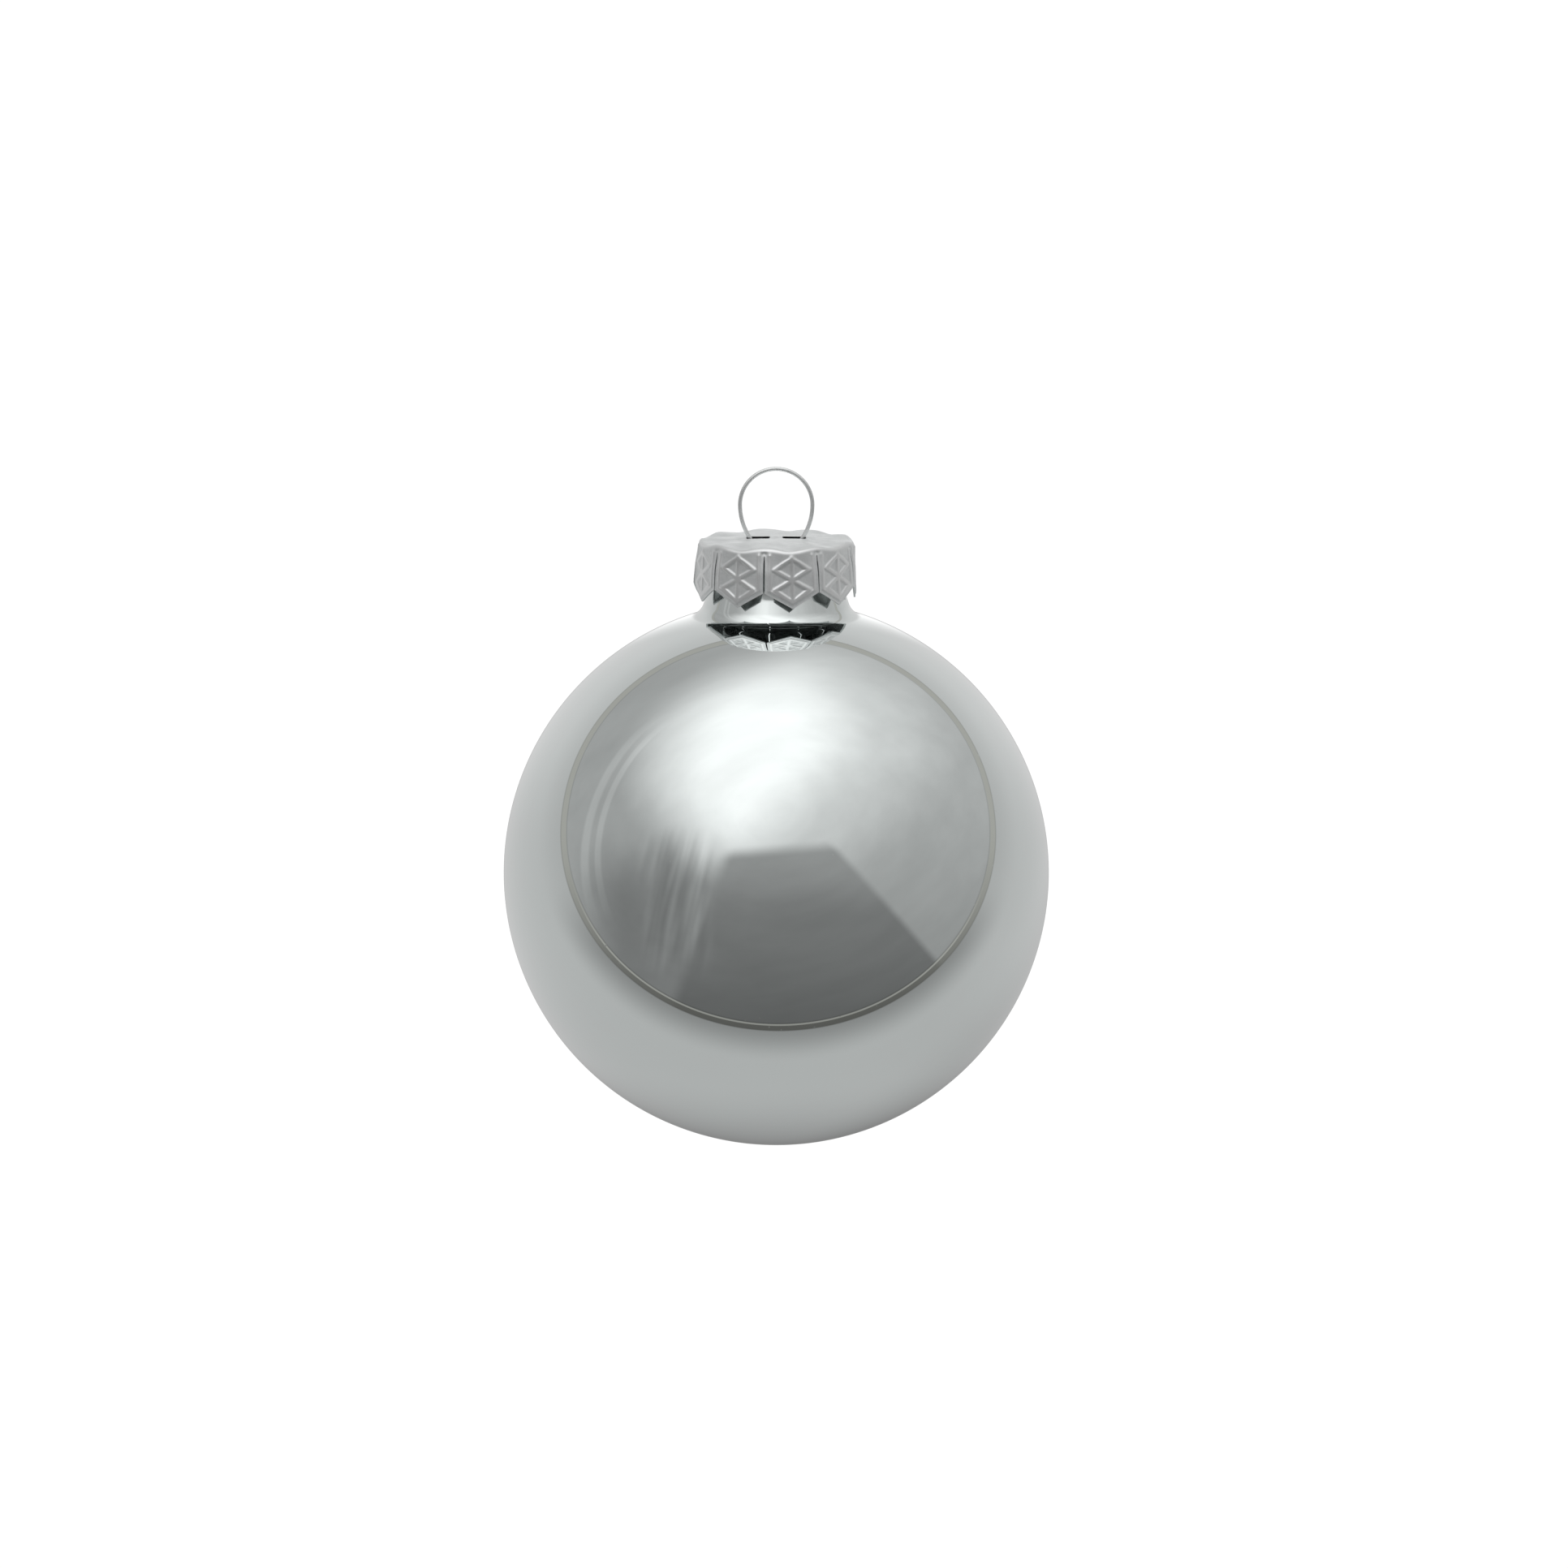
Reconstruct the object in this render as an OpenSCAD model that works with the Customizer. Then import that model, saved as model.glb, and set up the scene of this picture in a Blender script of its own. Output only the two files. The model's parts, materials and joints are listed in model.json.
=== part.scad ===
// Glass ball ornament: a blown glass ball with a silvered inside, a stamped
// crown cap with nine embossed petals, and a spring wire hanger.
// Millimetres, +Z up. The origin is where a hook bears: the inside top of the wire loop.

/* [Ball] */
// Outer diameter of the glass ball
ball_d = 67; // [50:1:100]
// Thickness of the blown glass
glass_wall = 0.7; // [0.4:0.05:1.2]
// Thickness of the silver film on the inside of the glass
lining_t = 0.06; // [0.04:0.01:0.12]

/* [Neck] */
// Outer diameter of the neck
neck_d = 17.5; // [14:0.5:22]
// Radius of the fillet where the neck grows out of the ball
neck_fillet = 2.5; // [1.5:0.1:3.5]
// Distance from the level of the ball's top up to the petal tips
tip_gap = 0.5; // [0.2:0.05:2]
// Distance that the silver film stops short of the neck's rim
lining_stop = 1.2; // [0.5:0.1:3]

/* [Cap] */
// Number of petals round the cap
petals = 9; // [6:1:12]
// Thickness of the stamped sheet
sheet_t = 0.3; // [0.2:0.05:0.4]
// Play between the neck and the inside of the petals at their tops
neck_play = 0.35; // [0.2:0.05:0.8]
// Gap between the neck's rim and the plate that seats on it
seat_gap = 0.05; // [0.02:0.01:0.2]
// Outer radius of the fold between plate and petals
fold_r = 1; // [0.6:0.1:1.4]
// Rise of the crowned plate from its fold to its middle
crown_rise = 0.3; // [0.2:0.05:0.8]
// Height of the petals from the fold's top to their tips
skirt_h = 7.3; // [6:0.1:9]
// How far the petal tips stand out past the petal tops
flare = 0.45; // [0.1:0.05:0.8]
// Height of the pointed end of each petal
point_h = 1.95; // [1.2:0.05:2.4]
// Width of the slit between two petals
slit_w = 0.25; // [0.15:0.05:0.5]
// Distance from the fold's top down to the start of each slit
slit_start = 0.9; // [0.7:0.1:1.6]
// Turn of the first petal from straight ahead
petal_turn = 11.3; // [0:0.1:40]

/* [Embossing] */
// Height of the raised lines on the petals
rib_h = 0.18; // [0.1:0.02:0.3]
// Width of the raised lines
rib_w = 0.55; // [0.4:0.05:0.7]
// Distance from the fold's top down to the hexagon
hex_drop = 0.95; // [0.9:0.05:1.3]
// Distance from the hexagon's foot down to the tip of the raised field
hex_foot = 0.2; // [0.1:0.05:0.4]
// Distance from the hexagon's side lines out to the edge of the raised field
hex_side = 0.1; // [0.05:0.05:0.3]
// Width of the plain edge round the raised field
border = 0.3; // [0.2:0.05:0.4]

/* [Hanger] */
// Diameter of the spring wire
wire_d = 0.5; // [0.4:0.05:0.8]
// Width of the loop between wire centres
loop_w = 8.82; // [7:0.1:12]
// Radius of the loop's lower sides
side_r = 7.41; // [6:0.1:10]
// Distance between the wires where they enter the cap
waist_w = 6.54; // [5:0.1:6.8]
// Radius of the bend just under the cap
bend_r = 1.5; // [1:0.1:2]
// Lean of the legs away from upright where the bend ends
leg_lean = 45; // [35:1:50]
// Play between the bowed legs and the silvered bore of the neck
leg_play = 0.75; // [0.6:0.05:1]
// Angle that the legs curve back in by at their ends
leg_tuck = 25; // [10:1:30]
// Play between the wires and the outer ends of the slots
slot_play = 0.06; // [0.03:0.01:0.2]
// Width of the slots from front to back
slot_w = 1.3; // [1:0.1:1.8]
// Width of the bridge between the two slots
bridge_w = 1.54; // [1:0.1:2]

/* [Hidden] */
$fn = 144;
wire_fn = 24;
crown_fn = 720;
far = 200;
bite = 0.5;

// Hanger, from the loop down to the wires in the cap
wire_r = wire_d / 2;
loop_r = loop_w / 2;
loop_z = wire_r - loop_r;
side_sweep = acos((side_r - (loop_w - waist_w) / 2) / side_r);
plate_z = loop_z - side_r * sin(side_sweep);
bend_x = waist_w / 2 + bend_r * cos(side_sweep);
bend_z = plate_z - bend_r * sin(side_sweep);
leg_x = neck_d / 2 - glass_wall - lining_t - leg_play - wire_r;
leg_bow_r = (leg_x - bend_x + bend_r * cos(leg_lean)) / (1 - cos(leg_lean));
bow_x = bend_x - (bend_r + leg_bow_r) * cos(leg_lean);
bow_z = bend_z - (bend_r + leg_bow_r) * sin(leg_lean);
join_gap = 0.01;
join_swell = 0.005;

// Cap, from its plate down to the petal tips
neck_r = neck_d / 2;
cap_r = neck_r + neck_play + sheet_t;
tip_r = cap_r + flare;
fold_x = cap_r - fold_r;
crown_r = (fold_x * fold_x + crown_rise * crown_rise) / (2 * crown_rise);
crown_z = plate_z - crown_r;
fold_z = crown_z + sqrt(pow(crown_r - fold_r, 2) - fold_x * fold_x);
ridge_z = fold_z + fold_r;
tip_z = ridge_z - skirt_h;
slit_top_z = ridge_z - slit_start;
slit_swell = 0.05;
corner_z = tip_z + point_h;
pitch = 360 / petals;
half_pitch_w = cap_r * sin(pitch / 2);
slot_end = waist_w / 2 + wire_r / cos(side_sweep) + slot_play;

// Ball, hung under the cap's plate
fold_in_r = fold_r - sheet_t;
seat_z = fold_z + sqrt(fold_in_r * fold_in_r - pow(max(neck_r - fold_x, 0), 2)) - seat_gap;
ball_r = ball_d / 2;
ball_z = tip_z - tip_gap - ball_r;
rim_h = seat_z - ball_z;

// Raised field of a petal, drawn flat and pressed on to the cone
point_slope = point_h / half_pitch_w;
field_x = half_pitch_w - slit_w / 2 - border;
field_tip_z = tip_z + border * sqrt(1 + point_slope * point_slope);
hex_w = field_x - hex_side;
hex_h = (ridge_z - hex_drop - field_tip_z - hex_foot) / 2;
hub_z = ridge_z - hex_drop - hex_h;

// Half profile of a ball with a neck, drawn about the ball's centre
module ball_profile(radius, neck, fillet, rim) {
    fillet_x = neck + fillet;
    fillet_z = sqrt(pow(radius + fillet, 2) - fillet_x * fillet_x);
    intersection() {
        circle(radius);
        translate([0, -far]) square([far, 2 * far]);
    }
    square([neck, rim]);
    difference() {
        polygon([[0, 0], [fillet_x, fillet_z], [0, fillet_z]]);
        translate([fillet_x, fillet_z]) circle(fillet);
    }
}

// The same profile, moved inwards from the outside of the glass
module ball_inset(depth, rim) {
    ball_profile(ball_r - depth, neck_r - depth, neck_fillet + depth, rim);
}

module glass_ball() {
    color("#c9ced0")
    translate([0, 0, ball_z])
    rotate_extrude()
    difference() {
        ball_inset(0, rim_h);
        ball_inset(glass_wall, rim_h + bite);
    }
}

module silver_lining() {
    color("#e6e8ea")
    translate([0, 0, ball_z])
    rotate_extrude()
    difference() {
        ball_inset(glass_wall, rim_h - lining_stop);
        ball_inset(glass_wall + lining_t, rim_h);
    }
}

// Half profile of the cap's outside, moved inwards by depth and down to low_z
module cap_profile(depth, low_z) {
    reach = (crown_r - depth) / (crown_r - fold_r);
    lip_x = fold_x * reach;
    lip_z = crown_z + (fold_z - crown_z) * reach;
    intersection() {
        translate([0, crown_z]) circle(crown_r - depth, $fn = crown_fn);
        polygon([
            [0, fold_z],
            [fold_x, fold_z],
            [lip_x, lip_z],
            [lip_x, plate_z + bite],
            [0, plate_z + bite]
        ]);
    }
    translate([fold_x, fold_z]) circle(fold_r - depth);
    polygon([
        [0, low_z],
        [tip_r - depth, low_z],
        [cap_r - depth, fold_z],
        [0, fold_z]
    ]);
}

// Places something drawn on the front of the cap at each petal, or between petals
module round_cap(offset_turn) {
    for (i = [0:petals - 1])
        rotate([0, 0, petal_turn + offset_turn + i * pitch])
        children();
}

// Wraps a flat shape on to the front of the cap by extruding it outwards
module press_out() {
    translate([0, -cap_r / 2, 0])
    rotate([90, 0, 0])
    linear_extrude(cap_r)
    children();
}

// Slit between two petals, ending in the notch between their pointed ends
module petal_gap() {
    notch_w = half_pitch_w + flare;
    translate([-slit_w / 2, tip_z - bite]) square([slit_w, slit_top_z - tip_z + bite]);
    translate([0, slit_top_z]) circle(slit_w / 2 + slit_swell, $fn = wire_fn);
    polygon([
        [0, corner_z],
        [notch_w, tip_z],
        [notch_w, tip_z - bite],
        [-notch_w, tip_z - bite],
        [-notch_w, tip_z]
    ]);
}

// Corners of a triangle after each side has moved inwards by depth
function inset_corners(p, q, r, depth) =
    let (
        a = norm(q - r),
        b = norm(r - p),
        c = norm(p - q),
        middle = (a * p + b * q + c * r) / (a + b + c),
        inner_r = abs(cross(q - p, r - p)) / (a + b + c)
    )
    [for (corner = [p, q, r]) middle + (1 - depth / inner_r) * (corner - middle)];

// Outline of the raised field of a petal, inside its plain edge
module petal_field() {
    polygon([
        [-field_x, fold_z],
        [-field_x, field_tip_z + field_x * point_slope],
        [0, field_tip_z],
        [field_x, field_tip_z + field_x * point_slope],
        [field_x, fold_z]
    ]);
}

// Sunk cells between the raised lines: six round the hub and one in each upper corner
module petal_cells() {
    hub = [0, hub_z];
    ring = [for (k = [0:5]) hub + [hex_w * sin(60 * k) / sin(60), hex_h * cos(60 * k)]];
    roof_slope = hex_h / 2 / hex_w;
    roof_z = ring[0][1] + rib_w / 2 * sqrt(1 + roof_slope * roof_slope);
    spine_x = rib_w / 2;
    cell_x = hex_w - rib_w / 2;
    for (k = [0:5])
        polygon(inset_corners(hub, ring[k], ring[(k + 1) % 6], rib_w / 2));
    for (side = [-1, 1])
        polygon([
            [side * spine_x, roof_z - roof_slope * spine_x],
            [side * cell_x, roof_z - roof_slope * cell_x],
            [side * cell_x, fold_z + bite],
            [side * spine_x, fold_z + bite]
        ]);
}

// The two slots that the wires pass through
module plate_slots() {
    for (side = [0, 1])
        mirror([side, 0, 0])
        translate([bridge_w / 2, -slot_w / 2, fold_z - bite])
        cube([slot_end - bridge_w / 2, slot_w, plate_z - fold_z + 2 * bite]);
}

// Band of metal that the raised fields are cut from, following the petals' flare
module raised_band() {
    rotate_extrude()
    polygon([
        [cap_r - sheet_t / 2, fold_z],
        [cap_r + rib_h, fold_z],
        [tip_r + rib_h, tip_z],
        [tip_r - sheet_t / 2, tip_z]
    ]);
}

module cap() {
    color("#b9bcbf") {
        difference() {
            rotate_extrude()
            difference() {
                cap_profile(0, tip_z);
                cap_profile(sheet_t, tip_z - bite);
            }
            round_cap(pitch / 2) press_out() petal_gap();
            plate_slots();
        }
        difference() {
            intersection() {
                raised_band();
                round_cap(0) press_out() petal_field();
            }
            round_cap(0) press_out() petal_cells();
        }
    }
}

// A bend of wire in the X-Z plane about a centre, from one angle through a sweep
module wire_bend(centre, radius, start, sweep) {
    trim = join_gap / radius * 180 / PI;
    translate([centre[0], 0, centre[1]])
    rotate([90, 0, 0])
    rotate_extrude(angle = sweep - 2 * trim, start = start + trim)
    translate([radius, 0])
    circle(wire_r, $fn = wire_fn);
}

// Joins one bend to the next
module wire_join(x, z) {
    translate([x, 0, z])
    sphere(wire_r + join_swell, $fn = wire_fn);
}

module hanger() {
    color("#8f9296") {
        wire_bend([0, loop_z], loop_r, 0, 180);
        for (side = [0, 1])
            mirror([side, 0, 0]) {
                wire_join(loop_r, loop_z);
                wire_bend([loop_r - side_r, loop_z], side_r, -side_sweep, side_sweep);
                wire_join(waist_w / 2, plate_z);
                wire_bend([bend_x, bend_z], bend_r, 180 - side_sweep, side_sweep + leg_lean);
                wire_join(bend_x - bend_r * cos(leg_lean), bend_z - bend_r * sin(leg_lean));
                wire_bend([bow_x, bow_z], leg_bow_r, -leg_tuck, leg_lean + leg_tuck);
            }
    }
}

glass_ball();
silver_lining();
cap();
hanger();
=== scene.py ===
"""Looks of a glass ball ornament: a silvered blown ball, its stamped crown cap and its wire hanger.

Sizes in the classes are in millimetres and angles in degrees, unless a name says otherwise.
Heights are measured in the frame of the part, whose origin is the inside top of the wire loop.
"""

import json
import logging
import math
from collections.abc import Sequence
from dataclasses import dataclass
from enum import Enum
from typing import ClassVar

import bpy
import numpy as np
from mathutils import Matrix, Vector

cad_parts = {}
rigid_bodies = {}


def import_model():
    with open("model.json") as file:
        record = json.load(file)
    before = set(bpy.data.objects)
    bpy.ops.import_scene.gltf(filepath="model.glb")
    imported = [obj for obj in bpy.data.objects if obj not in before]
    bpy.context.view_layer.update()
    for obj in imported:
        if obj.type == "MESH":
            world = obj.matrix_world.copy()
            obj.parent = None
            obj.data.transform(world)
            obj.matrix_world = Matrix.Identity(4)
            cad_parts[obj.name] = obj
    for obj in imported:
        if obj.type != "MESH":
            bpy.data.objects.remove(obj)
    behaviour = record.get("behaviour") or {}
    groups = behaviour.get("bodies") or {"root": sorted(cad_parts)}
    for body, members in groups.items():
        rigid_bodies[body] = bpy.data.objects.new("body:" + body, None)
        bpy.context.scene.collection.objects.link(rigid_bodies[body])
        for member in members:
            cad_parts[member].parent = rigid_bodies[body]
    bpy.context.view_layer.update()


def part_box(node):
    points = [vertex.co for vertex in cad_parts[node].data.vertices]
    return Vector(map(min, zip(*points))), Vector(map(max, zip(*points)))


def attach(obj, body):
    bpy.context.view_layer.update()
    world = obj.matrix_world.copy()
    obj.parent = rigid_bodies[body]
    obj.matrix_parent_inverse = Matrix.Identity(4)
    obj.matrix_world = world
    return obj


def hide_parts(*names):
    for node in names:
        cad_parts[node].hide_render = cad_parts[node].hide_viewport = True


MM = 0.001
MERGE = 2e-6
DOWN_TO_FLOOR = 150.0
CAMERA_TILT = 10.0
WHITE = (1.0, 1.0, 1.0, 1.0)
CARD_LIGHT = 1.05
GLASS_IOR = 1.5

log = logging.getLogger("ornament")

Socket = bpy.types.NodeSocket
Source = Socket | float | Sequence[float]
Inputs = dict[str | int, Source]
Marks = bpy.types.NodeOutputs
Coat = tuple[Socket, Socket, Socket]


class Slot(Enum):
    """Material slots of the record."""

    GLASS = "silvered_glass"
    FILM = "silver_film"
    SHEET = "stamped_aluminium"
    WIRE = "spring_wire"


class Body(Enum):
    """Bodies of the part that pieces ride on."""

    HANGER = "hanger"
    CAP = "cap"
    BALL = "ball"


# ---------------------------------------------------------------- workshop


def work_on(piece: bpy.types.Object) -> None:
    """Leaves edit mode and makes one piece the only selected and active one.

    Args:
        piece: The piece to work on.
    """
    if bpy.context.object and bpy.context.object.mode != "OBJECT":
        bpy.ops.object.mode_set(mode="OBJECT")
    for other in bpy.context.selected_objects:
        other.select_set(False)
    bpy.context.view_layer.objects.active = piece
    piece.select_set(True)


def begin(name: str) -> bpy.types.Object:
    """Names the primitive that was just added and puts its place into its mesh.

    Args:
        name: Name of the new piece.

    Returns:
        The piece, at the origin.
    """
    piece = bpy.context.object
    piece.name = name
    piece.data.name = name
    work_on(piece)
    bpy.ops.object.transform_apply(location=True, rotation=True, scale=True)
    return piece


def edit(piece: bpy.types.Object, everything: bool = True) -> None:
    """Enters edit mode on a piece.

    Args:
        piece: The piece to edit.
        everything: Selects the whole mesh, else only what was selected before.
    """
    work_on(piece)
    bpy.ops.object.mode_set(mode="EDIT")
    bpy.ops.mesh.select_mode(type="VERT")
    if everything:
        bpy.ops.mesh.select_all(action="SELECT")


def pick(piece: bpy.types.Object, chosen: np.ndarray) -> None:
    """Selects vertices by a mask and enters edit mode.

    Args:
        piece: The piece to edit.
        chosen: One true or false value for each vertex.
    """
    work_on(piece)
    mesh = piece.data
    mesh.polygons.foreach_set("select", np.zeros(len(mesh.polygons), bool))
    mesh.edges.foreach_set("select", np.zeros(len(mesh.edges), bool))
    mesh.vertices.foreach_set("select", chosen.astype(bool))
    edit(piece, everything=False)


def close_up(piece: bpy.types.Object, outwards: bool = True) -> None:
    """Merges vertices that meet, and turns all faces outwards.

    Args:
        piece: The piece to mend.
        outwards: False leaves the faces as they are turned.
    """
    edit(piece)
    bpy.ops.mesh.remove_doubles(threshold=MERGE)
    if outwards:
        bpy.ops.mesh.normals_make_consistent(inside=False)
    bpy.ops.object.mode_set(mode="OBJECT")


def places(piece: bpy.types.Object) -> np.ndarray:
    """Returns the places of a mesh's vertices, in millimetres, one row each.

    Args:
        piece: The piece to read.

    Returns:
        The places, as rows of X, Y and Z.
    """
    flat = np.empty(len(piece.data.vertices) * 3, np.float32)
    piece.data.vertices.foreach_get("co", flat)
    return flat.reshape(-1, 3).astype(float) / MM


def put(piece: bpy.types.Object, points: np.ndarray) -> None:
    """Moves a mesh's vertices to new places, given in millimetres."""
    piece.data.vertices.foreach_set("co", (points * MM).astype(np.float32).ravel())
    piece.data.update()


def finish_modifier(piece: bpy.types.Object, kind: str, **settings: object) -> None:
    """Adds a modifier and applies it.

    Args:
        piece: The piece to change.
        kind: Blender's name for the kind of modifier.
        **settings: Its settings.
    """
    work_on(piece)
    bpy.ops.object.modifier_add(type=kind)
    modifier = piece.modifiers[-1]
    for key, value in settings.items():
        setattr(modifier, key, value)
    bpy.ops.object.modifier_apply(modifier=modifier.name)


def smooth(piece: bpy.types.Object, angle: float) -> None:
    """Shades a piece smooth, with sharp edges above an angle in degrees."""
    work_on(piece)
    bpy.ops.object.shade_smooth_by_angle(angle=math.radians(angle))


def smoothstep(low: float, high: float, value: np.ndarray) -> np.ndarray:
    """Returns a smooth rise from 0 at low to 1 at high."""
    t = np.clip((value - low) / (high - low), 0.0, 1.0)
    return t * t * (3.0 - 2.0 * t)


class Lathe:
    """Draws a half profile in the X-Z plane from one point, then turns it about the Z axis."""

    def __init__(self, name: str, x: float, z: float) -> None:
        """Starts a profile.

        Args:
            name: Name of the turned piece.
            x: Distance of the first point from the axis.
            z: Height of the first point.
        """
        bpy.ops.mesh.primitive_plane_add(size=MM, location=(x * MM, 0.0, z * MM))
        self.piece = begin(name)
        edit(self.piece)
        bpy.ops.mesh.merge(type="CENTER")
        self.point = (x, z)

    def run(self, x: float, z: float) -> "Lathe":
        """Draws a straight line to a point.

        Args:
            x: Distance of the point from the axis.
            z: Height of the point.

        Returns:
            The lathe itself.
        """
        step = Vector((x - self.point[0], 0.0, z - self.point[1])) * MM
        bpy.ops.mesh.extrude_region_move(TRANSFORM_OT_translate={"value": step})
        self.point = (x, z)
        return self

    def arc(self, x: float, z: float, sweep: float, steps: int) -> "Lathe":
        """Draws an arc about a centre.

        Args:
            x: Distance of the centre from the axis.
            z: Height of the centre.
            sweep: Angle of the arc, anticlockwise with X to the right and Z up.
            steps: Number of straight pieces in it.

        Returns:
            The lathe itself.
        """
        turn = math.radians(sweep)
        bpy.ops.mesh.spin(
            steps=steps, angle=turn, center=(x * MM, 0.0, z * MM), axis=(0.0, 1.0, 0.0)
        )
        dx, dz = self.point[0] - x, self.point[1] - z
        self.point = (
            x + dx * math.cos(turn) - dz * math.sin(turn),
            z + dx * math.sin(turn) + dz * math.cos(turn),
        )
        return self

    def turn(self, steps: int) -> bpy.types.Object:
        """Turns the profile once round the Z axis.

        Args:
            steps: Number of steps in the turn.

        Returns:
            The closed piece, faces outwards.
        """
        bpy.ops.mesh.select_all(action="SELECT")
        bpy.ops.mesh.spin(
            steps=steps, angle=math.tau, center=(0.0, 0.0, 0.0), axis=(0.0, 0.0, 1.0)
        )
        close_up(self.piece)
        return self.piece


# ---------------------------------------------------------------- node boards


def tone(level: float) -> float:
    """Returns the linear light of a display grey between 0 and 255."""
    share = level / 255.0
    return share / 12.92 if share <= 0.04045 else ((share + 0.055) / 1.055) ** 2.4


def emptied(owner: bpy.types.Material | bpy.types.World) -> bpy.types.NodeTree:
    """Returns the node tree of a material or a world, with no nodes in it.

    Args:
        owner: The material or world.

    Returns:
        Its tree, emptied.
    """
    owner.use_nodes = True
    owner.node_tree.nodes.clear()
    return owner.node_tree


@dataclass
class Board:
    """Places nodes in one node tree and links them.

    Attributes:
        tree: The tree to work in.
    """

    tree: bpy.types.NodeTree

    def node(self, kind: str, inputs: Inputs, **settings: object) -> bpy.types.Node:
        """Adds a node.

        Args:
            kind: Blender's type name of the node.
            inputs: A value or a socket for each named or numbered input.
            **settings: Properties of the node.

        Returns:
            The new node.
        """
        made = self.tree.nodes.new(kind)
        for key, value in settings.items():
            setattr(made, key, value)
        for key, value in inputs.items():
            if isinstance(value, bpy.types.NodeSocket):
                self.tree.links.new(value, made.inputs[key])
            else:
                made.inputs[key].default_value = value
        return made

    def sum(self, operation: str, *terms: Source, clamp: bool = False) -> Socket:
        """Adds a Math node and returns its result."""
        inputs = dict(enumerate(terms))
        return self.node("ShaderNodeMath", inputs, operation=operation, use_clamp=clamp).outputs[0]

    def times(self, first: Source, *others: Source) -> Source:
        """Returns the product of numbers."""
        for other in others:
            first = self.sum("MULTIPLY", first, other)
        return first

    def plus(self, first: Source, second: Source) -> Socket:
        """Returns the sum of two numbers."""
        return self.sum("ADD", first, second)

    def minus(self, first: Source, second: Source) -> Socket:
        """Returns the difference of two numbers."""
        return self.sum("SUBTRACT", first, second)

    def over(self, first: Source, second: Source) -> Socket:
        """Returns one number divided by another."""
        return self.sum("DIVIDE", first, second)

    def share(self, value: Source, share: Source, base: Source) -> Socket:
        """Returns a share of a number, added to another."""
        return self.sum("MULTIPLY_ADD", value, share, base)

    def slide(
        self, value: Source, low: float, high: float, start: float = 0.0, end: float = 1.0
    ) -> Socket:
        """Returns a smooth change from start, where value is low, to end, where it is high.

        Args:
            value: The number that drives the change.
            low: Value at the start.
            high: Value at the end.
            start: Result at the start.
            end: Result at the end.

        Returns:
            The result.
        """
        inputs = {"Value": value, 1: low, 2: high, 3: start, 4: end}
        made = self.node("ShaderNodeMapRange", inputs, interpolation_type="SMOOTHSTEP")
        return made.outputs["Result"]

    def blend(self, share: Source, first: Source, second: Source) -> Socket:
        """Returns a number between two others, by a share from 0 to 1."""
        inputs = {0: share, 2: first, 3: second}
        return self.node("ShaderNodeMix", inputs, data_type="FLOAT").outputs[0]

    def tint(self, share: Source, first: Source, second: Source) -> Socket:
        """Returns a colour between two others, by a share from 0 to 1."""
        inputs = {0: share, 6: first, 7: second}
        return self.node("ShaderNodeMix", inputs, data_type="RGBA").outputs[2]

    def noise(self, place: Source, scale: float, detail: float = 2.0, rough: float = 0.5) -> Socket:
        """Returns noise between 0 and 1 over a place."""
        inputs = {"Vector": place, "Scale": scale, "Detail": detail, "Roughness": rough}
        return self.node("ShaderNodeTexNoise", inputs).outputs["Fac"]

    def stretch(
        self, place: Source, scale: Sequence[float], turn: Sequence[float] = (0, 0, 0)
    ) -> Socket:
        """Turns a place, then scales it.

        Args:
            place: The place to change.
            scale: Scale on each axis.
            turn: Angles about the axes, in degrees.

        Returns:
            The changed place.
        """
        angles = [math.radians(angle) for angle in turn]
        turned = self.node("ShaderNodeMapping", {"Vector": place, "Rotation": angles}).outputs[0]
        inputs = {0: turned, 1: scale}
        return self.node("ShaderNodeVectorMath", inputs, operation="MULTIPLY").outputs[0]


class MarksGroup:
    """Shared node group: smudges, fine scratches and grain that handling leaves on a surface."""

    NAME = "handling_marks"

    @classmethod
    def tree(cls) -> bpy.types.NodeTree:
        """Returns the group, and builds it on the first call."""
        return bpy.data.node_groups.get(cls.NAME) or cls._build()

    @classmethod
    def _build(cls) -> bpy.types.NodeTree:
        """Builds the group's sockets and nodes."""
        tree = bpy.data.node_groups.new(cls.NAME, "ShaderNodeTree")
        tree.interface.new_socket("Place", in_out="INPUT", socket_type="NodeSocketVector")
        for name in ("Smudges", "Scratches", "Grain"):
            tree.interface.new_socket(name, in_out="INPUT", socket_type="NodeSocketFloat")
        for name in ("Roughness", "Shade", "Height"):
            tree.interface.new_socket(name, in_out="OUTPUT", socket_type="NodeSocketFloat")
        board = Board(tree)
        given = tree.nodes.new("NodeGroupInput").outputs
        smudge = board.slide(board.noise(given["Place"], 160.0, 4.0, 0.6), 0.5, 0.72)
        hairs: Socket | None = None
        for turn, scale in (((25, 10, 40), (90, 2600, 2600)), ((70, 50, -30), (2200, 120, 2200))):
            line = board.noise(board.stretch(given["Place"], scale, turn), 1.0, 1.0)
            hair = board.slide(line, 0.66, 0.74)
            hairs = hair if hairs is None else board.sum("MAXIMUM", hairs, hair)
        grain = board.noise(given["Place"], 9000.0, 2.0)
        smudge_part = board.times(smudge, given["Smudges"])
        hair_part = board.times(hairs, given["Scratches"])
        grain_part = board.times(grain, given["Grain"])
        both = board.plus(smudge_part, hair_part)
        board.node(
            "NodeGroupOutput",
            {
                "Roughness": board.share(grain_part, 0.5, both),
                "Shade": board.sum("SUBTRACT", 1.0, both, clamp=True),
                "Height": board.minus(grain_part, hair_part),
            },
        )
        return tree


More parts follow.
